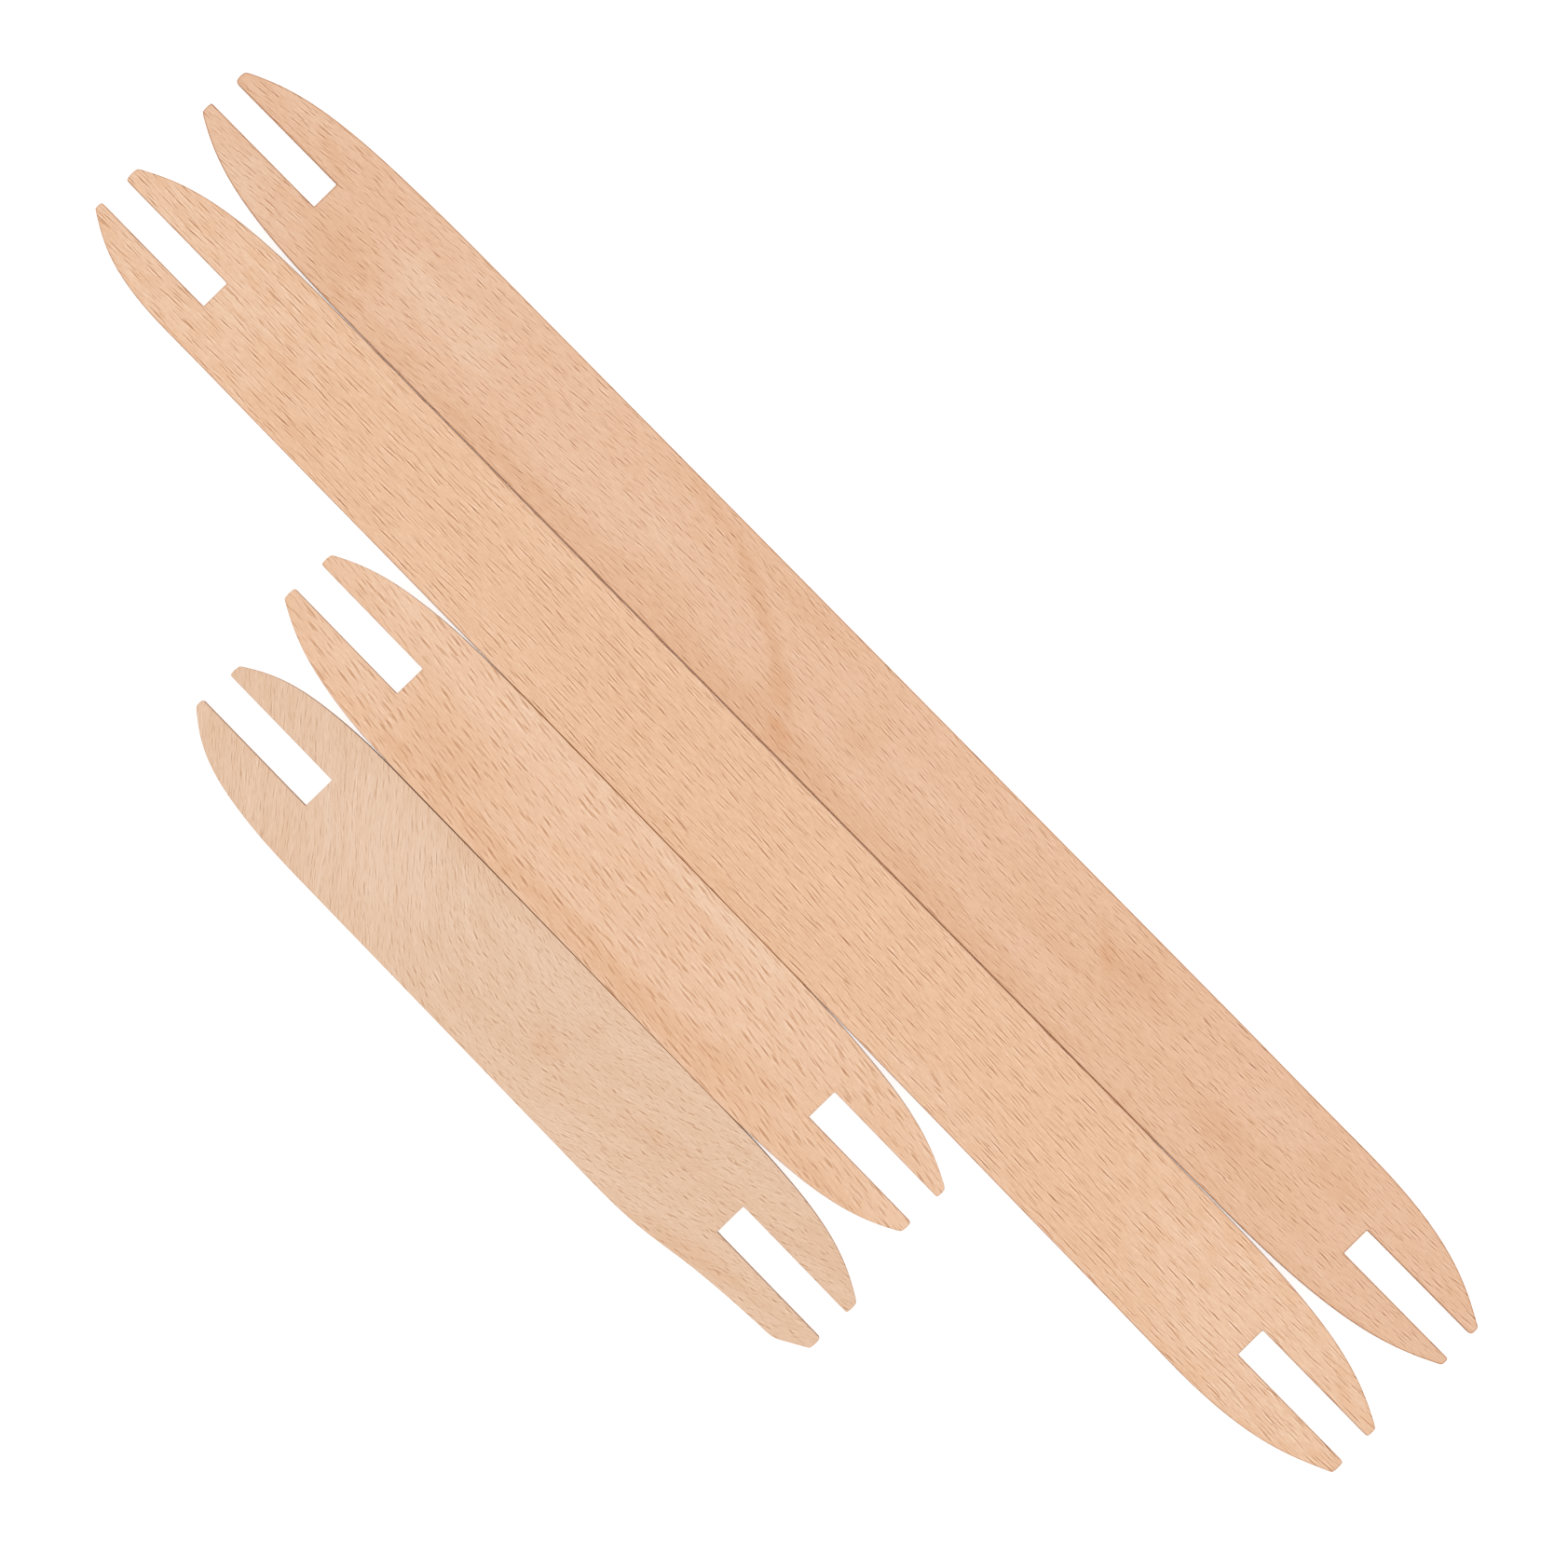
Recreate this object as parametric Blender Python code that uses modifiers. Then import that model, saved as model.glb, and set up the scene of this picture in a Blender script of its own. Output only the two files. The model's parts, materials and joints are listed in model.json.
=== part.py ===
"""Four flat stick shuttles of beech for hand weaving, two long and two short, lying side by side.

Metres. +X runs along the shuttles, +Y across the set towards long_shuttle_a, and +Z is up. The set
rests on Z = 0, with the origin below the middle of its outline.
"""

from dataclasses import dataclass
from math import degrees, radians, sin, tan

import bpy
from mathutils import Matrix, Vector
from mathutils.geometry import interpolate_bezier

SET_NAME = "stick_shuttle_set"

THICKNESS = 0.0040
EDGE_ROUND = 0.0004  # how far the sanded edges are eased
EDGE_STEPS = 2

SHOULDER_STEPS = 20
SHOULDER_HANDLES = (0.6, 0.2)  # shares of its length over which it leaves the edge and meets the tip
HOLLOW_HANDLES = (0.4, 0.64)  # the same for a shoulder that hollows in
EDGE_BOW_STEPS = 12

CORNER_STEP = 22.5  # degrees of a corner's turn that one segment takes
SLOT_CORNER_ROUND = 0.0003
NOSE_ROUND = 0.0060  # where a hollowed shoulder meets its blunt nose

WELD_DISTANCE = 0.00001
FLAT_ANGLE = 0.05  # degrees; flatter neighbours become one face before the edges are eased
PERIMETER_ANGLE = 60.0  # degrees; only the rims of the two faces turn more than this

ROUGHNESS = 0.55


@dataclass(frozen=True)
class Prong:
    """The wood on one side of a slot, with a curved shoulder down to a narrow tip."""

    shoulder: float  # how far behind the tip the curve leaves the straight edge
    drop: float  # how far in from the edge's line the shoulder meets the tip
    slope: float  # degrees between the shoulder and the shuttle's length at the tip
    outer_round: float
    inner_round: float
    set_back: float = 0.0  # how far the tip stops short of the shuttle's length
    nose: tuple = ()  # (distance behind the tip, depth, slope) where a hollow shoulder ends


@dataclass(frozen=True)
class End:
    """Two prongs and the slot between them."""

    upper: Prong
    lower: Prong
    slot_width: float
    slot_depth: float
    slot_offset: float  # how far the slot's middle lies above the centre line


@dataclass(frozen=True)
class Shuttle:
    name: str
    length: float
    left_width: float
    right_width: float
    left: End
    right: End
    place: tuple  # (x, y) of its middle
    turn: float  # degrees anticlockwise
    colour: tuple
    lower_bow: float = 0.0  # how far the lower edge hollows in at mid-length


LONG_A = Shuttle(
    name="long_shuttle_a",
    length=0.3992,
    left_width=0.0318,
    right_width=0.0325,
    left=End(
        upper=Prong(0.066, 0.0088, 28, 0.0012, 0.0010, set_back=0.0003),
        lower=Prong(0.058, 0.0098, 31, 0.0008, 0.0004),
        slot_width=0.0073,
        slot_depth=0.0331,
        slot_offset=0.0004,
    ),
    right=End(
        upper=Prong(0.046, 0.0102, 29, 0.0008, 0.0008, set_back=0.0002),
        lower=Prong(0.063, 0.0106, 28, 0.0006, 0.0004),
        slot_width=0.0075,
        slot_depth=0.0336,
        slot_offset=0.0,
    ),
    place=(0.0007, 0.0485),
    turn=0.03,
    colour=(0.78, 0.49, 0.33),
)

LONG_B = Shuttle(
    name="long_shuttle_b",
    length=0.4006,
    left_width=0.0303,
    right_width=0.0331,
    left=End(
        upper=Prong(0.050, 0.0093, 30, 0.0008, 0.0007, set_back=0.0002),
        lower=Prong(0.031, 0.0079, 32, 0.0005, 0.0004),
        slot_width=0.0076,
        slot_depth=0.0330,
        slot_offset=-0.0015,
    ),
    right=End(
        upper=Prong(0.075, 0.0100, 30, 0.0006, 0.0005, set_back=0.0003),
        lower=Prong(0.044, 0.0092, 24, 0.0009, 0.0005),
        slot_width=0.0080,
        slot_depth=0.0341,
        slot_offset=0.0,
    ),
    place=(0.0000, 0.0162),
    turn=-0.20,
    colour=(0.80, 0.51, 0.34),
    lower_bow=0.0006,
)

SHORT_A = Shuttle(
    name="short_shuttle_a",
    length=0.2003,
    left_width=0.0320,
    right_width=0.0325,
    left=End(
        upper=Prong(0.058, 0.0087, 30, 0.0010, 0.0005, set_back=0.0003),
        lower=Prong(0.046, 0.0089, 29, 0.0008, 0.0004),
        slot_width=0.0082,
        slot_depth=0.0333,
        slot_offset=0.0002,
    ),
    right=End(
        upper=Prong(0.069, 0.0093, 29, 0.0010, 0.0004),
        lower=Prong(0.055, 0.0095, 31, 0.0011, 0.0005),
        slot_width=0.0083,
        slot_depth=0.0333,
        slot_offset=0.0003,
    ),
    place=(-0.0072, -0.0155),
    turn=-0.43,
    colour=(0.81, 0.52, 0.35),
)

SHORT_B = Shuttle(
    name="short_shuttle_b",
    length=0.2012,
    left_width=0.0322,
    right_width=0.0327,
    left=End(
        upper=Prong(0.044, 0.0086, 35, 0.0007, 0.0004, set_back=0.0003),
        lower=Prong(0.046, 0.0104, 41, 0.0008, 0.0004),
        slot_width=0.0084,
        slot_depth=0.0335,
        slot_offset=0.0005,
    ),
    right=End(
        upper=Prong(0.046, 0.0089, 32, 0.0008, 0.0004),
        lower=Prong(0.061, 0.0092, 31, 0.0009, 0.0005, nose=(0.0075, 0.0048, 3)),
        slot_width=0.0084,
        slot_depth=0.0336,
        slot_offset=0.0002,
    ),
    place=(-0.0034, -0.0483),
    turn=-0.48,
    colour=(0.79, 0.54, 0.38),
)

SHUTTLES = (LONG_A, LONG_B, SHORT_A, SHORT_B)


def curve_between(start, end, end_slope, handles):
    """A curve from a point on the straight edge to one at end_slope, as (distance, depth) points."""
    leave, arrive = (share * (start.x - end.x) for share in handles)
    leaving = Vector((start.x - leave, start.y))
    arriving = Vector((end.x + arrive, end.y - arrive * tan(radians(end_slope))))
    return [point.to_2d() for point in interpolate_bezier(
        start.to_3d(), leaving.to_3d(), arriving.to_3d(), end.to_3d(), SHOULDER_STEPS + 1
    )]


def shoulder_corners(prong):
    """The shoulder from the edge to the tip, as (distance behind the tip, depth, corner radius)."""
    start = Vector((prong.shoulder, 0.0))
    tip = Vector((prong.set_back, prong.drop))
    if prong.nose:
        distance, depth, slope = prong.nose
        points = curve_between(start, Vector((distance, depth)), slope, HOLLOW_HANDLES)
        nose = points.pop()
        return [(p.x, p.y, 0.0) for p in points] + [(*nose, NOSE_ROUND), (*tip, prong.outer_round)]
    points = curve_between(start, tip, prong.slope, SHOULDER_HANDLES)
    tip = points.pop()
    return [(p.x, p.y, 0.0) for p in points] + [(*tip, prong.outer_round)]


def prong_corners(prong, half_length, edge_at, slot_edge):
    """A prong at the right-hand end, from the shoulder's start to the tip's inner corner."""
    corners = []
    for distance, depth, round_to in shoulder_corners(prong):
        x = half_length - distance
        corners.append((x, edge_at(x) - depth, round_to))
    corners.append((half_length - prong.set_back, slot_edge, prong.inner_round))
    return corners


def end_corners(end, half_length, upper_edge, lower_edge):
    """A right-hand end with its slot, from the lower edge round to the upper one."""
    slot_top = end.slot_offset + end.slot_width / 2
    slot_bottom = end.slot_offset - end.slot_width / 2
    slot_end = half_length - end.slot_depth
    lower = prong_corners(end.lower, half_length, lambda x: -lower_edge(x), -slot_bottom)
    upper = prong_corners(end.upper, half_length, upper_edge, slot_top)
    return [
        *[(x, -y, round_to) for x, y, round_to in lower],
        (slot_end, slot_bottom, SLOT_CORNER_ROUND),
        (slot_end, slot_top, SLOT_CORNER_ROUND),
        *reversed(upper),
    ]


def mirrored(corners):
    return [(-x, y, round_to) for x, y, round_to in reversed(corners)]


def bowed_edge(shuttle, lower_edge):
    """Points along the hollow of the lower edge, between the two shoulders."""
    left = -shuttle.length / 2 + shuttle.left.lower.shoulder
    right = shuttle.length / 2 - shuttle.right.lower.shoulder
    step = (right - left) / EDGE_BOW_STEPS
    xs = [left + step * i for i in range(1, EDGE_BOW_STEPS)]
    return [(x, lower_edge(x), 0.0) for x in xs]


def corners_of(shuttle):
    """The whole outline, anticlockwise, as (x, y, corner radius)."""
    half_length = shuttle.length / 2
    middle_width = (shuttle.left_width + shuttle.right_width) / 2
    taper = (shuttle.right_width - shuttle.left_width) / shuttle.length

    def upper_edge(x):
        return (middle_width + taper * x) / 2

    def lower_edge(x):
        return shuttle.lower_bow * (1 - (x / half_length) ** 2) - upper_edge(x)

    right = end_corners(shuttle.right, half_length, upper_edge, lower_edge)
    left = end_corners(
        shuttle.left, half_length, lambda x: upper_edge(-x), lambda x: lower_edge(-x)
    )
    bow = bowed_edge(shuttle, lower_edge) if shuttle.lower_bow else []
    return right + mirrored(left) + bow


def rounded_corner(before, corner, after, radius):
    """The corner's arc, tangent to both of its sides."""
    back = (before - corner).normalized()
    ahead = (after - corner).normalized()
    opening = back.angle(ahead)
    reach = radius / tan(opening / 2)
    middle = corner + (back + ahead).normalized() * (radius / sin(opening / 2))
    start = corner + back * reach - middle
    turn = (corner + ahead * reach - middle).angle_signed(start)
    steps = max(2, round(degrees(abs(turn)) / CORNER_STEP))
    return [middle + Matrix.Rotation(turn * i / steps, 2) @ start for i in range(steps + 1)]


def outline_of(shuttle):
    corners = corners_of(shuttle)
    places = [Vector((x, y)) for x, y, _ in corners]
    outline = []
    for i, (_, _, round_to) in enumerate(corners):
        if round_to:
            after = places[(i + 1) % len(places)]
            outline += rounded_corner(places[i - 1], places[i], after, round_to)
        else:
            outline.append(places[i])
    return outline


def flat_board(name, outline):
    """A 2D curve with filled faces, as thick as the board."""
    curve = bpy.data.curves.new(name, "CURVE")
    curve.dimensions = "2D"
    curve.fill_mode = "BOTH"
    curve.extrude = THICKNESS / 2
    spline = curve.splines.new("POLY")
    spline.points.add(len(outline) - 1)
    for point, place in zip(spline.points, outline):
        point.co = (*place, 0.0, 1.0)
    spline.use_cyclic_u = True
    return bpy.data.objects.new(name, curve)


def ease_edges(board):
    """Round the rims of both faces, once the loose faces are joined to the sides."""
    weld = board.modifiers.new("Join faces to sides", "WELD")
    weld.merge_threshold = WELD_DISTANCE
    flatten = board.modifiers.new("Whole faces", "DECIMATE")
    flatten.decimate_type = "DISSOLVE"
    flatten.angle_limit = radians(FLAT_ANGLE)
    bevel = board.modifiers.new("Eased edges", "BEVEL")
    bevel.limit_method = "ANGLE"
    bevel.angle_limit = radians(PERIMETER_ANGLE)
    bevel.width = EDGE_ROUND
    bevel.segments = EDGE_STEPS


def bare_wood(name, colour):
    material = bpy.data.materials.new(name)
    material.use_nodes = True
    shader = material.node_tree.nodes["Principled BSDF"]
    shader.inputs["Base Color"].default_value = (*colour, 1.0)
    shader.inputs["Roughness"].default_value = ROUGHNESS
    shader.inputs["Metallic"].default_value = 0.0
    return material


def make_shuttle(shuttle, collection):
    board = flat_board(shuttle.name, outline_of(shuttle))
    board.location = (*shuttle.place, THICKNESS / 2)
    board.rotation_euler.z = radians(shuttle.turn)
    board.data.materials.append(bare_wood(shuttle.name + "_beech", shuttle.colour))
    collection.objects.link(board)
    ease_edges(board)


def clear_scene():
    for obj in list(bpy.data.objects):
        bpy.data.objects.remove(obj, do_unlink=True)


def main():
    clear_scene()
    collection = bpy.data.collections.new(SET_NAME)
    bpy.context.scene.collection.children.link(collection)
    for shuttle in SHUTTLES:
        make_shuttle(shuttle, collection)


main()
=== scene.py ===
"""The looks of a set of four flat beech stick shuttles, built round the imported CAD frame.

Each shuttle is remade as a fine mesh from its CAD outline, with hand-sanded edges, and gets its own
board of flat-sawn beech. The floor, the light and the camera come last. Lengths are in metres, but
in the wood's nodes they are in millimetres from the middle of the board.
"""

import json
from dataclasses import dataclass
from math import ceil, cos, pi, radians, sin

import bpy
import numpy as np
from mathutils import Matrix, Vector, geometry, noise


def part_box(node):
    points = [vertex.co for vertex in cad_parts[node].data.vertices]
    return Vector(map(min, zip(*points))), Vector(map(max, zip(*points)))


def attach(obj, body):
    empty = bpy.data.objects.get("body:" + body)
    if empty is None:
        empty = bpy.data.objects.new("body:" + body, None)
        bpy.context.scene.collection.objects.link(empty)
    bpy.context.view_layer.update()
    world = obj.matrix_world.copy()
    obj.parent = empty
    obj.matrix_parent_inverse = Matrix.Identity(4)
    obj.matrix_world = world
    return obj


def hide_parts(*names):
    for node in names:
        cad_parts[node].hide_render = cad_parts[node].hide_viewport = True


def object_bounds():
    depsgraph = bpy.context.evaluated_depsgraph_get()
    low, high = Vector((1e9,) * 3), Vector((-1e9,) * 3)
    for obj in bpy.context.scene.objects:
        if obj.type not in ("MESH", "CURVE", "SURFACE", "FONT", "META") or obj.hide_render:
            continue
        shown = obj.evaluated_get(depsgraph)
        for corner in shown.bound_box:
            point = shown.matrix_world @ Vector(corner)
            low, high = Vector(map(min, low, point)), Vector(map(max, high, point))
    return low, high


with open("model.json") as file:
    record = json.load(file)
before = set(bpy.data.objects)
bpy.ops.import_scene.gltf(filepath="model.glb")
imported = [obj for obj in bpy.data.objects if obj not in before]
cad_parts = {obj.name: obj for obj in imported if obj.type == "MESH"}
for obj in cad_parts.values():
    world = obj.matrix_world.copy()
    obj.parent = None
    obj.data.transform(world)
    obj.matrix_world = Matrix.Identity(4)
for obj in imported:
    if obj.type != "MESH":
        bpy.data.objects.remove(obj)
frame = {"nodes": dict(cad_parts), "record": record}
cad_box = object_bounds()

MM = 0.001

# The camera looks straight down, turned so that the shuttles lie across the square picture.
CAMERA_AIM = (0.0020, 0.0292)
CAMERA_TURN = radians(45.4)
CAMERA_HEIGHT = 1.2  # above the shuttles' upper faces
VIEW_WIDTH = 0.35506  # what the picture's side spans at those faces
SENSOR_WIDTH = 36.0

# The mesh of a shuttle
UPRIGHT = 0.01  # a wall's normal rises less than this
RIM_TOLERANCE = 0.00001
STRAIGHT_FROM = 0.0060  # a longer segment of the CAD outline is left straight
LONGEST_STEP = 0.0020
CURVE_STEPS = 3  # the fewest segments that stand for one segment of the CAD outline
EDGE_VARIES = 0.25  # the share by which the eased edge gets wider and narrower
EDGE_SCALE = 90.0
EDGE_RINGS = 5
SIDE_STARTS = 0.0090  # how far from a board's centre line its sides begin to stand out
SIDE_FULL = 0.0140
TOUCH_MIDDLE = -0.055  # the middle of the stretch where they do, as a share of half the length
TOUCH_FULL = 0.62  # how far from there they stand out fully
TOUCH_ENDS = 0.73
TIGHTEST = 0.85  # the eased edge's greatest share of an outward corner's radius
NEARLY_STRAIGHT = 1e-9  # no turn counts as smaller than this
EDGE_GROWTH = 0.25  # how fast the eased edge may widen away from a tight corner
INSETS = (0.0004, 0.0009, 0.0016, 0.0026)  # rows of points inside the rim of a face
INSET_SHARE = 0.9  # a point stays in its row if it keeps this share of the row's distance
POINT_GAP = 0.0004
GRID = 0.0030
GRID_CLEAR = 0.0034  # how far inside the rim the grid of points stays
SANDED_DEPTH = 0.00003  # how far the sanded upper face waves up and down
SANDED_SCALE = 40.0
EDGE_ATTRIBUTE = "from_edge"  # millimetres in from the wall, kept on each vertex

FLOOR_SIZE = 6.0
FLOOR_COLOUR = (0.93, 0.93, 0.93, 1.0)
FLOOR_ROUGHNESS = 0.9
FLOOR_SPECULAR = 0.1
WHITE = (1.0, 1.0, 1.0, 1.0)
WORLD_STRENGTH = 0.45
LAMP_PLACE = (0.0, 0.05, 2.4)
LAMP_AIM = (0.0, 0.0, 0.0)
LAMP_SIZE = 0.35
LAMP_POWER = 49.0


# ---------------------------------------------------------------- the shuttles' meshes


def wall_outline(mesh):
    """The line round a CAD board's upright wall, anticlockwise seen from above."""
    walls = [p for p in mesh.polygons if abs(p.normal.z) < UPRIGHT]
    rim = max(mesh.vertices[i].co.z for p in walls for i in p.vertices)
    following = {}
    for wall in walls:
        corners = [mesh.vertices[i].co for i in wall.vertices]
        for here, there in zip(corners, corners[1:] + corners[:1]):
            if min(here.z, there.z) > rim - RIM_TOLERANCE:
                following[there.x, there.y] = (here.x, here.y)
    line = [min(following)]
    while following[line[-1]] != line[0]:
        line.append(following[line[-1]])
    return np.array(line)


def unit(vectors):
    return vectors / np.linalg.norm(vectors, axis=-1, keepdims=True)


def tangents(corners, lengths):
    """The direction in which a smooth line passes each corner. A long straight keeps its own."""
    ahead = unit(np.roll(corners, -1, 0) - corners)
    behind = np.roll(ahead, 1, 0)
    ahead_length = lengths[:, None]
    behind_length = np.roll(lengths, 1)[:, None]
    curved = unit(behind * ahead_length + ahead * behind_length)
    ahead_straight = ahead_length > STRAIGHT_FROM
    behind_straight = behind_length > STRAIGHT_FROM
    direction = np.where(ahead_straight & ~behind_straight, ahead, curved)
    return np.where(behind_straight & ~ahead_straight, behind, direction)


def smooth_outline(corners):
    """The outline with its short segments bent into curves that pass through every corner."""
    lengths = np.linalg.norm(np.roll(corners, -1, 0) - corners, axis=1)
    directions = tangents(corners, lengths)
    points = []
    for i, (here, length) in enumerate(zip(corners, lengths)):
        j = (i + 1) % len(corners)
        there = corners[j]
        leave, arrive = directions[i] * length, directions[j] * length
        if length > STRAIGHT_FROM:
            leave = arrive = there - here
        steps = max(CURVE_STEPS, ceil(length / LONGEST_STEP))
        for t in np.arange(steps) / steps:
            points.append(
                here * (2 * t**3 - 3 * t**2 + 1)
                + leave * (t**3 - 2 * t**2 + t)
                + there * (3 * t**2 - 2 * t**3)
                + arrive * (t**3 - t**2)
            )
    return np.array(points)


def outward(line):
    """The outward normal at each point, long enough to keep an offset parallel, and the turn."""
    ahead = unit(np.roll(line, -1, 0) - line)
    behind = np.roll(ahead, 1, 0)
    turn = np.arctan2(
        behind[:, 0] * ahead[:, 1] - behind[:, 1] * ahead[:, 0], (behind * ahead).sum(1)
    )
    middle = unit(ahead + behind)
    normal = np.stack([middle[:, 1], -middle[:, 0]], 1)
    return normal / np.cos(turn / 2)[:, None], turn


def uneven(line, scale, seed):
    """Smooth values from about -1 to 1 along a line."""
    return np.array([noise.noise(Vector((x * scale, y * scale, seed))) for x, y in line])


def edge_widths(line, turn, wood):
    """How wide the sanded edge is at each point: uneven, and narrow enough for tight corners."""
    gaps = np.linalg.norm(np.roll(line, -1, 0) - line, axis=1)
    widths = wood.eased * (1 + EDGE_VARIES * uneven(line, EDGE_SCALE, wood.seed))
    span = (gaps + np.roll(gaps, 1)) / 2
    convex = turn > 0
    radius = span / np.maximum(turn, NEARLY_STRAIGHT)
    widths[convex] = np.minimum(widths, TIGHTEST * radius)[convex]
    count = len(line)
    for i in range(2 * count):
        here, before = i % count, (i - 1) % count
        widths[here] = min(widths[here], widths[before] + EDGE_GROWTH * gaps[before])
    for i in range(2 * count, 0, -1):
        here, after = (i - 1) % count, i % count
        widths[here] = min(widths[here], widths[after] + EDGE_GROWTH * gaps[here])
    return widths


def touching(line):
    """How fully each point stands out: 1 along the middle of the sides, 0 on prongs and slots."""
    low, high = line.min(0), line.max(0)
    along, aside = (line - (low + high) / 2).T
    along = np.abs(along / (high[0] - low[0]) * 2 - TOUCH_MIDDLE)
    side = np.clip((np.abs(aside) - SIDE_STARTS) / (SIDE_FULL - SIDE_STARTS), 0, 1)
    return side * np.clip((TOUCH_ENDS - along) / (TOUCH_ENDS - TOUCH_FULL), 0, 1)


def inside_distance(points, line):
    """How far each point lies inside a closed line; below zero outside it."""
    start, step = line, np.roll(line, -1, 0) - line
    to_point = points[:, None, :] - start[None, :, :]
    share = (to_point * step).sum(2) / (step**2).sum(1)
    nearest = to_point - np.clip(share, 0, 1)[:, :, None] * step
    distance = np.sqrt((nearest**2).sum(2).min(1))
    x, y = points[:, 0][:, None], points[:, 1][:, None]
    low, high = start[:, 1], np.roll(line, -1, 0)[:, 1]
    spans = (low <= y) != (high <= y)
    rise = np.where(step[:, 1] == 0, 1.0, step[:, 1])
    crossing = start[:, 0] + (y - low) * step[:, 0] / rise
    odd = (spans & (crossing > x)).sum(1) % 2 == 1
    return np.where(odd, distance, -distance)


def face_points(rim, normal):
    """Points inside a face: rows that follow its rim, then an even grid."""
    kept = {}
    for inset in INSETS:
        row = rim - normal * inset
        for point in row[inside_distance(row, rim) > INSET_SHARE * inset]:
            kept.setdefault(tuple(np.round(point / POINT_GAP).astype(int)), point)
    low, high = rim.min(0), rim.max(0)
    across = [np.arange(a, b, GRID) for a, b in zip(low, high)]
    grid = np.stack(np.meshgrid(*across, indexing="ij"), -1).reshape(-1, 2)
    grid = grid[inside_distance(grid, rim) > GRID_CLEAR]
    return np.concatenate([np.array(list(kept.values())), grid])


def face_triangles(rim, inner):
    """Triangles over a face, as indices into the rim's points followed by the inner ones."""
    points = [Vector(p / MM) for p in np.concatenate([rim, inner])]
    made = geometry.delaunay_2d_cdt(points, [], [list(range(len(rim)))], 1, RIM_TOLERANCE)
    faces, sources = made[2], made[3]
    return [[sources[i][0] for i in face] for face in faces]


def edge_rings(line, normal, widths):
    """Rings of points round the eased edge, from the wall to the face.

    Each comes with how far its points lie from the face's level and how far in from the wall.
    """
    rings = []
    for k in range(EDGE_RINGS + 1):
        angle = pi / 2 * k / EDGE_RINGS
        inset = widths * (1 - cos(angle))
        rings.append((line - normal * inset[:, None], widths * (1 - sin(angle)), inset))
    return rings


def board_vertices(rings, inner, inner_depth, low, high):
    """The rings from the underside up, then both faces' inner points, with their depths."""
    vertices, depths = [], []
    for ring, rise, inset in reversed(rings):
        vertices += [(x, y, low + z) for (x, y), z in zip(ring, rise)]
        depths += list(inset)
    for ring, rise, inset in rings:
        vertices += [(x, y, high - z) for (x, y), z in zip(ring, rise)]
        depths += list(inset)
    for level in (low, high):
        vertices += [(x, y, level) for x, y in inner]
        depths += list(inner_depth)
    return vertices, depths


def wall_faces(count, ring_count):
    """Quads that join each ring of points to the next one up."""
    faces = []
    for k in range(ring_count - 1):
        here, above = k * count, (k + 1) * count
        for i in range(count):
            j = (i + 1) % count
            faces.append((here + i, here + j, above + j, above + i))
    return faces


def flat_faces(rim, inner, ring_count):
    """Triangles over the upper face and the underside, whose rims are the last and first rings."""
    count = len(rim)
    top_rim, bottom_inner = (ring_count - 1) * count, ring_count * count
    top_inner = bottom_inner + len(inner)
    faces = []
    for face in face_triangles(rim, inner):
        faces.append([i + top_rim if i < count else i - count + top_inner for i in face])
        faces.append([i if i < count else i - count + bottom_inner for i in reversed(face)])
    return faces


def sanded(vertices, low, high, seed):
    """The vertices waved slightly up and down, fully on the upper face and not on the underside."""
    moved = []
    for x, y, z in vertices:
        wave = noise.noise(Vector((x * SANDED_SCALE, y * SANDED_SCALE, seed)))
        moved.append((x, y, z + SANDED_DEPTH * (wave - 1) * (z - low) / (high - low)))
    return moved


def shuttle_mesh(name, node, wood):
    """A board with eased edges along the CAD node's outline, at the node's own thickness."""
    low, high = (corner.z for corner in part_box(node.name))
    line = smooth_outline(wall_outline(node.data))
    normal, turn = outward(line)
    line = line + normal * (wood.closer * touching(line))[:, None]
    rings = edge_rings(line, normal, edge_widths(line, turn, wood))
    rim = rings[-1][0]
    inner = face_points(rim, normal)
    inner_depth = inside_distance(inner, rim) + wood.eased

    vertices, depths = board_vertices(rings, inner, inner_depth, low, high)
    ring_count = 2 * len(rings)
    faces = wall_faces(len(line), ring_count) + flat_faces(rim, inner, ring_count)
    mesh = bpy.data.meshes.new(name)
    mesh.from_pydata(sanded(vertices, low, high, wood.seed), [], faces)
    kept = mesh.attributes.new(EDGE_ATTRIBUTE, "FLOAT", "POINT")
    kept.data.foreach_set("value", np.array(depths) / MM)
    mesh.shade_smooth()
    mesh.validate()
    return mesh


# ---------------------------------------------------------------- beech


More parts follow.
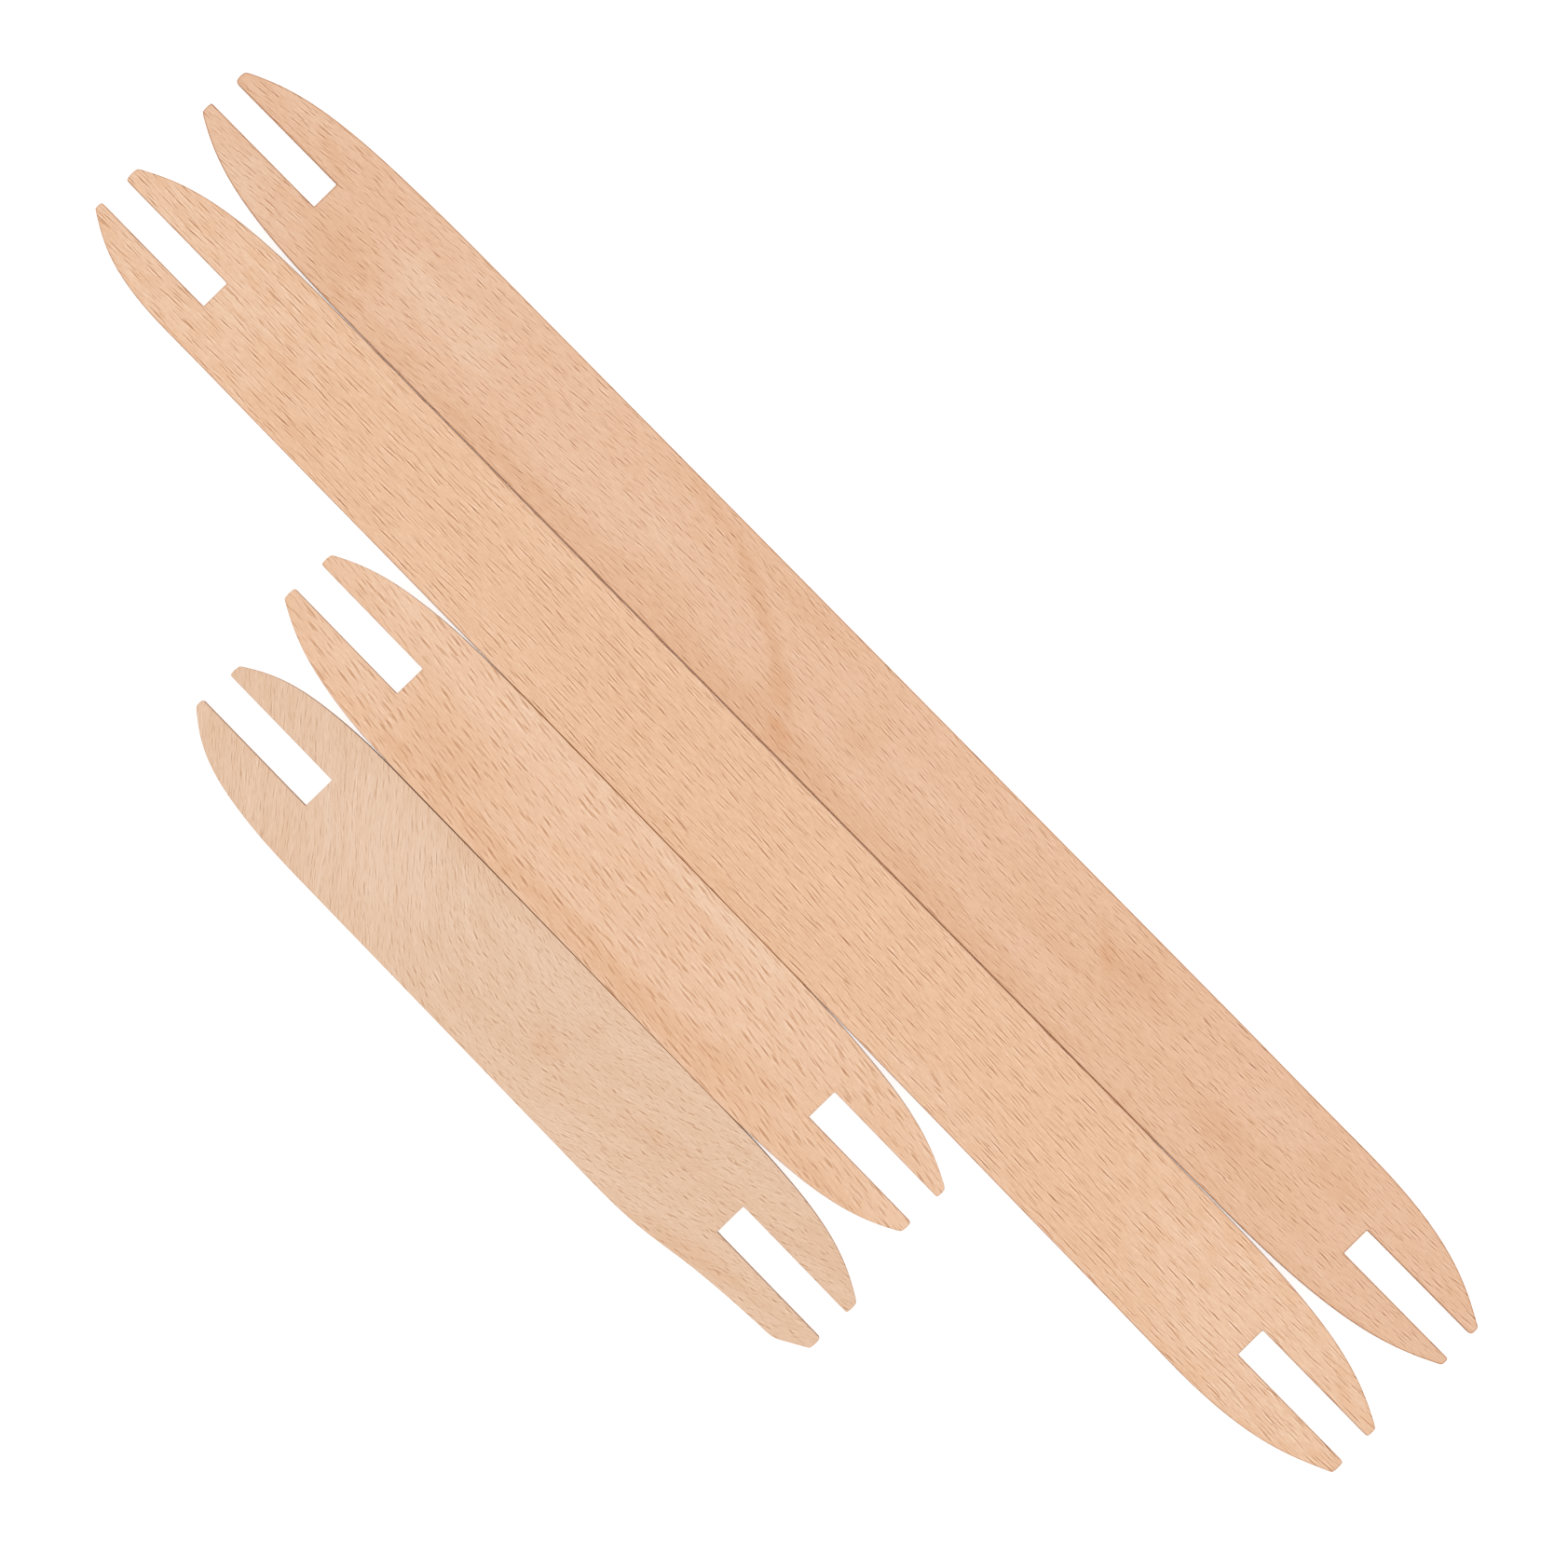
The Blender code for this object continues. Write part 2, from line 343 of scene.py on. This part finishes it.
class Nodes:
    """Short calls that add nodes to one tree and join them up."""

    def __init__(self, tree):
        self.tree = tree

    def put(self, socket, value):
        if isinstance(value, bpy.types.NodeSocket):
            self.tree.links.new(value, socket)
        else:
            socket.default_value = value

    def add(self, kind, inputs=None, **settings):
        made = self.tree.nodes.new(kind)
        for name, value in settings.items():
            setattr(made, name, value)
        for socket, value in (inputs or {}).items():
            self.put(made.inputs[socket], value)
        return made

    def math(self, operation, *values):
        made = self.add("ShaderNodeMath", operation=operation)
        for socket, value in zip(made.inputs, values):
            self.put(socket, value)
        return made.outputs[0]

    def plus(self, a, b):
        return self.math("ADD", a, b)

    def minus(self, a, b):
        return self.math("SUBTRACT", a, b)

    def times(self, a, b):
        return self.math("MULTIPLY", a, b)

    def scaled(self, value, factor, shift):
        return self.math("MULTIPLY_ADD", value, factor, shift)

    def centred(self, value, spread):
        """Spreads a value from 0 to 1 evenly about 0."""
        return self.scaled(value, spread, -spread / 2)

    def varied(self, value, shares, size):
        """From the first share of size to the second, as the value goes from 0 to 1."""
        low, high = shares
        return self.scaled(value, (high - low) * size, low * size)

    def between(self, value, start, end, low=0.0, high=1.0):
        """Rises smoothly from low at start to high at end."""
        limits = {"From Min": start, "From Max": end, "To Min": low, "To Max": high}
        inputs = {"Value": value} | limits
        made = self.add("ShaderNodeMapRange", inputs, interpolation_type="SMOOTHSTEP")
        return made.outputs["Result"]

    def triple(self, x, y, z=0.0):
        return self.add("ShaderNodeCombineXYZ", {"X": x, "Y": y, "Z": z}).outputs[0]

    def split(self, vector):
        return self.add("ShaderNodeSeparateXYZ", {"Vector": vector}).outputs

    def vector_math(self, operation, inputs):
        return self.add("ShaderNodeVectorMath", inputs, operation=operation).outputs

    def multiplied(self, colour, other):
        made = self.add("ShaderNodeMix", data_type="RGBA", blend_type="MULTIPLY")
        self.put(made.inputs[0], 1.0)
        self.put(made.inputs[6], colour)
        self.put(made.inputs[7], other)
        return made.outputs[2]

    def cloud(self, place, kind, seed):
        """Smooth noise from 0 to 1."""
        shift = seed + kind.seed
        spread = [self.scaled(axis, 1 / length, shift) for axis, length in zip(place, kind.size)]
        detail = {"Detail": kind.detail, "Roughness": kind.roughness}
        inputs = {"Vector": self.triple(*spread), "Scale": 1.0} | detail
        return self.add("ShaderNodeTexNoise", inputs).outputs["Fac"]


@dataclass(frozen=True)
class Cloud:
    """A kind of smooth noise."""

    size: tuple  # of its patches, along, across and through
    detail: float = 1.0
    roughness: float = 0.5
    seed: float = 0.0  # added to the board's own


@dataclass(frozen=True)
class Flecks:
    """The brown spindles where the rays end in the face of a flat-sawn board, one in each cell."""

    length: float
    width: float
    cell: tuple  # the room for one fleck, along and across the grain
    strength: float  # how dark the darkest is, in tones
    lean: float = 0.0  # how far they slope across the grain, as rise over run
    lean_varies: float = 0.06
    patch: float = 0.0  # the size of the patches that they keep to, or 0 for everywhere
    seed: float = 0.0


@dataclass(frozen=True)
class Patch:
    """A soft patch of warmer or paler wood, as an ellipse with an uneven edge."""

    place: tuple
    reach: tuple
    warmth: float
    turn: float = 0.0  # degrees


@dataclass(frozen=True)
class Beech:
    """One board's wood."""

    slot: str  # the record's material slot
    colour: tuple
    slope: float  # the grain's rise over run at the left end
    bends: tuple  # (where, change of slope, over what length) towards the right
    flecks: tuple
    patches: tuple
    seed: float
    closer: float  # how far its sides stand out, since the CAD boards keep a wider gap
    eased: float  # the radius rubbed off its edges
    drift: float  # how far the grain wanders across the board
    streaks: float  # how many tones its fine streaks span, then its grit and its growth bands
    grit: float
    bands: float = 0.25
    clouds: float = 0.5  # how much the warmth varies over the board, at random
    mottle: float = 0.5  # the same over a few millimetres


# One tone darker, or one warmth warmer, multiplies the colour by this.
TONE = (0.76, 0.65, 0.55)
WARMTH = (0.90, 0.76, 0.62)
END_GRAIN_FACING = (0.55, 0.95)  # end grain shows from where to where a face looks along the board
END_GRAIN_TONE = 0.7
WORN_REACH = (1.2, 0.1)  # where wear starts and is full, in from the wall
WORN_SHARE = (0.3, 0.7)  # the values of its cloud between which it appears
WORN_TONE = 0.16
WALL_SHADE_TONE = 0.5  # painted shade: the walls are darker and browner than the faces, standing in for the shade in the seams between the boards
WALL_SHADE_WARMTH = 0.7
ARRIS_SHADE_WARMTH = 1.9  # and painted shade browns the arrises of the eased edge more still
SHADED_ARRIS_SHARE = 0.85  # how much of the eased edge this covers
SHADED_ARRIS_FULL = 1 / 3  # it is full at this share of that
SHADED_ARRIS_FADES = 1 / 5  # and gives way to the wall from this share
LAYER_LEAN = 0.8  # how far the grain shifts across for each step down through the board

# Flecks
CELL_SCATTER = 0.85
FLECK_LENGTHS = (0.65, 1.25)  # the shortest and longest, as shares of the stated length
FLECK_WIDTHS = (0.6, 1.1)
FLECK_FORCES = (0.4, 1.0)
FLECK_EDGE = (-0.1, 0.7)  # over which the fleck darkens, as shares of its half width
RAGGED = 0.28
HALO_REACH = 3.0  # as a multiple of the fleck's half width
HALO_EDGE = (0.0, 2.0)
HALO_TONE = 0.25  # how much paler the wood beside a fleck is, as a share of the fleck's strength
KEPT_TO = (0.45, 0.6)  # the values of their cloud between which flecks that keep to patches appear
KEPT_THROUGH = 20.0  # how far down through the board those patches reach

# Patches
PATCH_EDGE = (1.15, 0.3)  # where a patch starts and is full, as shares of its reach
PATCH_WARP = 2.0

# The clouds that give the grain its shape, tones and warmth
DRIFT = Cloud((34.0, 14.0, 14.0))
BAND = Cloud((150.0, 2.6, 5.0), 2.0, 0.5, 7.0)
STREAK = Cloud((4.0, 0.42, 0.6), 2.0, 0.7, 11.0)
GRIT = Cloud((1.2, 0.24, 0.3), 2.0, 0.7, 17.0)
STAIN = Cloud((40.0, 10.0, 12.0), seed=3.0)
MOTTLE = Cloud((8.0, 3.0, 4.0), 3.0, 0.6, 5.0)
RUBBED = Cloud((6.0, 3.0, 3.0), seed=29.0)

# The surface
DULLEST = 0.78
STREAK_DULLS = 0.30
WORN_POLISH = 0.10
SPECULAR = 0.4
BUMP_STRENGTH = 0.5
BUMP_DEPTH = 0.00004


def grain_rise(nodes, x, wood):
    """How far the grain has risen at x, from its slope and its bends."""
    rise = nodes.times(x, wood.slope)
    for where, change, over in wood.bends:
        past = nodes.minus(x, where)
        spread = nodes.math("SQRT", nodes.math("MULTIPLY_ADD", past, past, over**2))
        rise = nodes.plus(rise, nodes.times(nodes.plus(past, spread), change / 2))
    return rise


def fleck_cell(nodes, place, flecks):
    """Where a point lies from the middle of its cell, and the cell's three random values."""
    along, across, _ = place
    long_cell, wide_cell = flecks.cell
    u = nodes.scaled(along, 1 / long_cell, flecks.seed)
    v = nodes.scaled(across, 1 / wide_cell, flecks.seed)
    grid = nodes.triple(u, v)
    inputs = {"Vector": grid, "Scale": 1.0, "Randomness": CELL_SCATTER}
    cell = nodes.add("ShaderNodeTexVoronoi", inputs, voronoi_dimensions="2D").outputs
    offset = nodes.vector_math("SUBTRACT", {0: grid, 1: cell["Position"]})[0]
    run, rise, _ = nodes.split(offset)
    return nodes.times(run, long_cell), nodes.times(rise, wide_cell), nodes.split(cell["Color"])


def fleck_tone(nodes, place, ragged, flecks):
    """How many tones darker a layer of flecks makes the wood, with a paler halo round each.

    Ragged is fine noise from 0 to 1, which makes their outlines uneven.
    """
    run, rise, (size, force, tilt) = fleck_cell(nodes, place, flecks)
    lean = nodes.scaled(tilt, 2 * flecks.lean_varies, flecks.lean - flecks.lean_varies)
    rise = nodes.minus(rise, nodes.times(run, lean))
    rise = nodes.plus(rise, nodes.centred(ragged, RAGGED))
    u = nodes.math("DIVIDE", run, nodes.varied(size, FLECK_LENGTHS, flecks.length / 2))
    v = nodes.math("DIVIDE", rise, nodes.varied(force, FLECK_WIDTHS, flecks.width / 2))
    room = nodes.minus(1.0, nodes.times(u, u))
    off = nodes.math("ABSOLUTE", v)
    dark = nodes.between(nodes.minus(room, off), *FLECK_EDGE)
    beside = nodes.minus(nodes.times(room, HALO_REACH), off)
    halo = nodes.between(beside, *HALO_EDGE, 0.0, HALO_TONE)
    power = nodes.varied(force, FLECK_FORCES, flecks.strength)
    if flecks.patch:
        patches = Cloud((flecks.patch, flecks.patch / 2, KEPT_THROUGH))
        patch = nodes.cloud(place, patches, flecks.seed)
        power = nodes.times(power, nodes.between(patch, *KEPT_TO))
    shown = nodes.minus(nodes.times(dark, 1 + HALO_TONE), halo)
    return nodes.times(shown, power)


def patch_warmth(nodes, x, y, warp, patch):
    """How much one patch warms the wood."""
    inputs = {
        "Vector": nodes.triple(x, y),
        "Location": (*patch.place, 0.0),
        "Rotation": (0.0, 0.0, radians(patch.turn)),
        "Scale": (*patch.reach, 1.0),
    }
    inside = nodes.add("ShaderNodeMapping", inputs, vector_type="TEXTURE").outputs[0]
    away = nodes.vector_math("LENGTH", {0: inside})["Value"]
    return nodes.between(nodes.plus(away, warp), *PATCH_EDGE, 0.0, patch.warmth)


def grain_place(nodes, x, y, z, wood):
    """Where a point lies along the grain, across it and through the board."""
    drift = nodes.cloud((x, y, z), DRIFT, wood.seed)
    across = nodes.minus(y, grain_rise(nodes, x, wood))
    across = nodes.plus(across, nodes.centred(drift, wood.drift))
    return x, nodes.plus(across, nodes.times(z, LAYER_LEAN)), z


def face_warmth(nodes, x, y, place, wood):
    """How warm the wood is, from its clouds and its patches."""
    stain = nodes.cloud(place, STAIN, wood.seed)
    mottle = nodes.cloud(place, MOTTLE, wood.seed)
    warmth = nodes.plus(nodes.centred(stain, wood.clouds), nodes.centred(mottle, wood.mottle))
    warp = nodes.centred(mottle, PATCH_WARP)
    for patch in wood.patches:
        warmth = nodes.plus(warmth, patch_warmth(nodes, x, y, warp, patch))
    return warmth


def edge_shade_warmth(nodes, warmth, from_edge, shade_reach):
    """The warmth, with painted shade that browns the arrises and the walls, for the seams between
    the boards.
    """
    brown = nodes.between(from_edge, shade_reach, shade_reach * SHADED_ARRIS_FULL, 0.0, ARRIS_SHADE_WARMTH)
    wall = nodes.between(from_edge, shade_reach * SHADED_ARRIS_FADES, 0.0, 0.0, WALL_SHADE_WARMTH - ARRIS_SHADE_WARMTH)
    return nodes.plus(nodes.plus(warmth, brown), wall)


def deepened(nodes, colour, steps, amount):
    """The colour multiplied by steps to the power of amount."""
    depth = [nodes.math("POWER", share, amount) for share in steps]
    return nodes.multiplied(colour, nodes.triple(*depth))


def finish_surface(nodes, shader, streak, grit, worn):
    """Duller streaks, smoother worn edges and a fine relief."""
    dull = nodes.scaled(streak, STREAK_DULLS, DULLEST - STREAK_DULLS)
    nodes.put(shader.inputs["Roughness"], nodes.minus(dull, nodes.times(worn, WORN_POLISH)))
    shader.inputs["Specular IOR Level"].default_value = SPECULAR
    relief = nodes.minus(nodes.minus(0.5, grit), streak)
    inputs = {"Height": relief, "Strength": BUMP_STRENGTH, "Distance": BUMP_DEPTH}
    bump = nodes.add("ShaderNodeBump", inputs)
    nodes.put(shader.inputs["Normal"], bump.outputs["Normal"])


def beech_material(name, wood, middle):
    """Beech for one board, with its rays, bands, stains, end grain and worn edges, and painted
    shade on its walls and arrises.
    """
    material = bpy.data.materials.new(name)
    material.use_nodes = True
    nodes = Nodes(material.node_tree)
    shader = material.node_tree.nodes["Principled BSDF"]

    spot = nodes.add("ShaderNodeTexCoord").outputs
    local = nodes.vector_math("SUBTRACT", {0: spot["Object"], 1: middle})[0]
    x, y, z = nodes.split(nodes.vector_math("SCALE", {0: local, 3: 1 / MM})[0])
    place = grain_place(nodes, x, y, z, wood)
    streak = nodes.cloud(place, STREAK, wood.seed)
    grit = nodes.cloud(place, GRIT, wood.seed)
    tone = nodes.centred(nodes.cloud(place, BAND, wood.seed), wood.bands)
    tone = nodes.plus(tone, nodes.centred(streak, wood.streaks))
    tone = nodes.plus(tone, nodes.centred(grit, wood.grit))
    for flecks in wood.flecks:
        tone = nodes.plus(tone, fleck_tone(nodes, place, grit, flecks))

    facing = nodes.split(spot["Normal"])
    end_grain = nodes.between(nodes.math("ABSOLUTE", facing[0]), *END_GRAIN_FACING)
    tone = nodes.plus(tone, nodes.times(end_grain, END_GRAIN_TONE))
    from_edge = nodes.add("ShaderNodeAttribute", attribute_name=EDGE_ATTRIBUTE).outputs["Fac"]
    rubbed = nodes.between(nodes.cloud((x, y, z), RUBBED, wood.seed), *WORN_SHARE)
    worn = nodes.times(nodes.between(from_edge, *WORN_REACH), rubbed)
    tone = nodes.plus(tone, nodes.times(worn, WORN_TONE))
    # Painted shade: across the eased edge the wood turns darker and browner towards the wall,
    # standing in for the shade in the seams between the boards.
    shade_reach = wood.eased / MM * SHADED_ARRIS_SHARE
    tone = nodes.plus(tone, nodes.between(from_edge, shade_reach, 0.0, 0.0, WALL_SHADE_TONE))
    warmth = face_warmth(nodes, x, y, place, wood)
    warmth = edge_shade_warmth(nodes, warmth, from_edge, shade_reach)

    colour = deepened(nodes, (*wood.colour, 1.0), WARMTH, warmth)
    nodes.put(shader.inputs["Base Color"], deepened(nodes, colour, TONE, tone))
    finish_surface(nodes, shader, streak, grit, worn)
    return material


# ---------------------------------------------------------------- the four boards

WOODS = {
    "long_shuttle_a": Beech(
        slot="beech_pinkish",
        colour=(0.597, 0.368, 0.233),
        slope=0.07,
        bends=((-62.0, -0.12, 20.0), (62.0, 0.07, 20.0)),
        flecks=(
            Flecks(4.6, 0.38, (5.2, 1.5), 1.7),
            Flecks(3.4, 0.34, (4.0, 1.15), 1.25, seed=7.0),
        ),
        patches=(
            Patch((-186.0, -9.0), (24.0, 8.0), -0.25),
            Patch((-180.0, 12.0), (18.0, 6.0), -0.12),
            Patch((-152.0, -6.0), (13.0, 9.5), 0.30),
            Patch((-172.0, 8.0), (9.0, 2.0), 0.26, -20.0),
            Patch((-130.0, 0.5), (22.0, 9.0), -0.26),
            Patch((-73.0, 3.5), (38.0, 8.0), -0.13),
            Patch((-12.0, -14.0), (150.0, 5.5), 0.38),
            Patch((-52.0, -6.5), (12.0, 4.5), 0.21),
            Patch((-13.0, -7.0), (8.0, 6.0), 0.10),
            Patch((6.0, 0.0), (6.0, 10.0), 0.17),
            Patch((-54.0, 13.0), (13.0, 2.2), 0.30, -8.0),
            Patch((-35.0, 7.0), (15.0, 2.3), 0.50, -25.0),
            Patch((-16.5, -3.5), (13.0, 3.0), 0.50, -38.0),
            Patch((-7.0, -13.0), (7.0, 4.0), 0.35, -50.0),
            Patch((-20.0, 12.0), (16.0, 3.0), 0.15),
            Patch((79.5, 5.5), (8.0, 2.2), 0.35, -40.0),
            Patch((89.0, -1.5), (95.0, 16.0), 0.10),
            Patch((87.0, 6.0), (13.0, 8.0), 0.30),
            Patch((68.0, 0.5), (14.0, 3.5), 0.21),
            Patch((153.0, 8.0), (12.0, 6.0), 0.30),
            Patch((126.0, -4.0), (9.0, 5.0), 0.26),
        ),
        seed=2.3,
        closer=0.00012,
        eased=0.00034,
        drift=1.2,
        mottle=0.4,
        streaks=0.35,
        grit=1.0,
    ),
    "long_shuttle_b": Beech(
        slot="beech_warm",
        colour=(0.618, 0.384, 0.239),
        slope=0.0,
        bends=((-70.0, -0.04, 30.0), (125.0, 0.05, 25.0)),
        flecks=(
            Flecks(7.0, 0.42, (7.4, 1.55), 1.85, seed=3.0),
            Flecks(5.0, 0.38, (5.4, 1.2), 1.35, seed=19.0),
        ),
        patches=(
            Patch((-178.0, 0.0), (42.0, 18.0), -0.25),
            Patch((-146.0, -1.5), (11.0, 3.0), 0.25),
            Patch((-130.0, -8.5), (9.0, 3.0), 0.20),
            Patch((15.0, 0.0), (135.0, 18.0), 0.12),
            Patch((-5.0, -13.0), (60.0, 3.0), 0.20),
            Patch((79.0, -10.5), (22.0, 4.0), -0.15),
            Patch((170.0, 0.0), (48.0, 18.0), -0.22),
        ),
        seed=13.1,
        closer=0.00013,
        eased=0.00024,
        drift=1.0,
        clouds=0.3,
        mottle=0.6,
        streaks=0.5,
        grit=1.1,
    ),
    "short_shuttle_a": Beech(
        slot="beech_flecked",
        colour=(0.620, 0.393, 0.252),
        slope=-0.11,
        bends=(),
        flecks=(
            Flecks(5.2, 0.74, (5.8, 1.8), 1.1, seed=5.0),
            Flecks(4.0, 0.56, (4.6, 1.4), 0.82, seed=29.0),
        ),
        patches=(
            Patch((3.5, -12.5), (95.0, 4.5), 0.45),
            Patch((-51.0, -5.5), (17.0, 9.0), 0.30),
            Patch((3.0, 7.5), (14.0, 2.5), 0.20),
            Patch((49.0, -7.5), (18.0, 3.5), 0.30, 5.0),
            Patch((0.0, 13.5), (65.0, 3.0), -0.15),
            Patch((37.0, 3.5), (16.0, 6.0), -0.15),
        ),
        seed=31.7,
        closer=0.00016,
        eased=0.00011,
        drift=1.2,
        streaks=0.4,
        grit=1.0,
    ),
    "short_shuttle_b": Beech(
        slot="beech_pale",
        colour=(0.588, 0.396, 0.270),
        slope=-1.15,
        bends=((-26.0, 1.0, 10.0), (6.0, 0.38, 16.0)),
        flecks=(
            Flecks(2.9, 0.54, (3.1, 1.8), 0.95, lean_varies=0.2, seed=11.0),
            Flecks(2.0, 0.46, (2.3, 1.4), 0.7, lean_varies=0.2, seed=37.0),
            Flecks(1.8, 0.42, (2.3, 1.5), 0.45, lean=0.5, patch=24.0, seed=43.0),
        ),
        patches=(
            Patch((-47.0, 4.0), (24.0, 14.0), -0.12),
            Patch((-60.0, 0.0), (50.0, 20.0), -0.06),
            Patch((50.0, 0.0), (62.0, 20.0), 0.06),
            Patch((9.5, -2.0), (6.0, 4.0), 0.30),
            Patch((14.5, 8.0), (4.0, 3.0), 0.20),
            Patch((45.0, 1.5), (15.0, 2.5), 0.22, 8.0),
            Patch((68.0, -11.5), (20.0, 3.0), 0.35, 12.0),
            Patch((-24.0, 15.0), (24.0, 2.5), 0.20),
            Patch((88.0, 11.0), (10.0, 4.0), 0.15),
        ),
        seed=47.9,
        closer=0.00014,
        eased=0.00008,
        drift=3.0,
        clouds=0.3,
        bands=0.3,
        streaks=0.4,
        grit=0.9,
    ),
}


def make_shuttles():
    bodies = {}
    for body, names in frame["record"]["behaviour"]["bodies"].items():
        bodies |= dict.fromkeys(names, body)
    for name, wood in WOODS.items():
        low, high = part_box(name)
        mesh = shuttle_mesh(name + "_board", frame["nodes"][name], wood)
        board = bpy.data.objects.new(name + "_board", mesh)
        bpy.context.scene.collection.objects.link(board)
        middle = ((low.x + high.x) / 2, (low.y + high.y) / 2, low.z)
        board.data.materials.append(beech_material(name + "_beech", wood, middle))
        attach(board, bodies[name])
        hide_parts(name)


# ---------------------------------------------------------------- floor, light and camera


def make_floor():
    bpy.ops.mesh.primitive_plane_add(size=FLOOR_SIZE, location=(0, 0, cad_box[0].z))
    floor = bpy.context.object
    floor.name = "floor"
    material = bpy.data.materials.new("floor_white")
    material.use_nodes = True
    shader = material.node_tree.nodes["Principled BSDF"]
    shader.inputs["Base Color"].default_value = FLOOR_COLOUR
    shader.inputs["Roughness"].default_value = FLOOR_ROUGHNESS
    shader.inputs["Specular IOR Level"].default_value = FLOOR_SPECULAR
    floor.data.materials.append(material)


def make_light():
    light = bpy.data.lights.new("overhead", "AREA")
    light.shape = "DISK"
    light.size = LAMP_SIZE
    light.energy = LAMP_POWER
    lamp = bpy.data.objects.new("overhead", light)
    lamp.location = LAMP_PLACE
    aim = Vector(LAMP_AIM) - Vector(LAMP_PLACE)
    lamp.rotation_euler = aim.to_track_quat("-Z", "Y").to_euler()
    bpy.context.scene.collection.objects.link(lamp)


def make_world():
    world = bpy.data.worlds.new("studio")
    world.use_nodes = True
    sky = world.node_tree.nodes["Background"]
    sky.inputs["Color"].default_value = WHITE
    sky.inputs["Strength"].default_value = WORLD_STRENGTH
    bpy.context.scene.world = world
    bpy.context.scene.view_settings.view_transform = "Standard"


def make_camera():
    data = bpy.data.cameras.new("camera")
    data.sensor_width = SENSOR_WIDTH
    data.lens = SENSOR_WIDTH * CAMERA_HEIGHT / VIEW_WIDTH
    camera = bpy.data.objects.new("camera", data)
    camera.location = (*CAMERA_AIM, cad_box[1].z + CAMERA_HEIGHT)
    camera.rotation_euler = (0, 0, CAMERA_TURN)
    bpy.context.scene.collection.objects.link(camera)
    bpy.context.scene.camera = camera


make_shuttles()
make_floor()
make_world()
make_light()
make_camera()
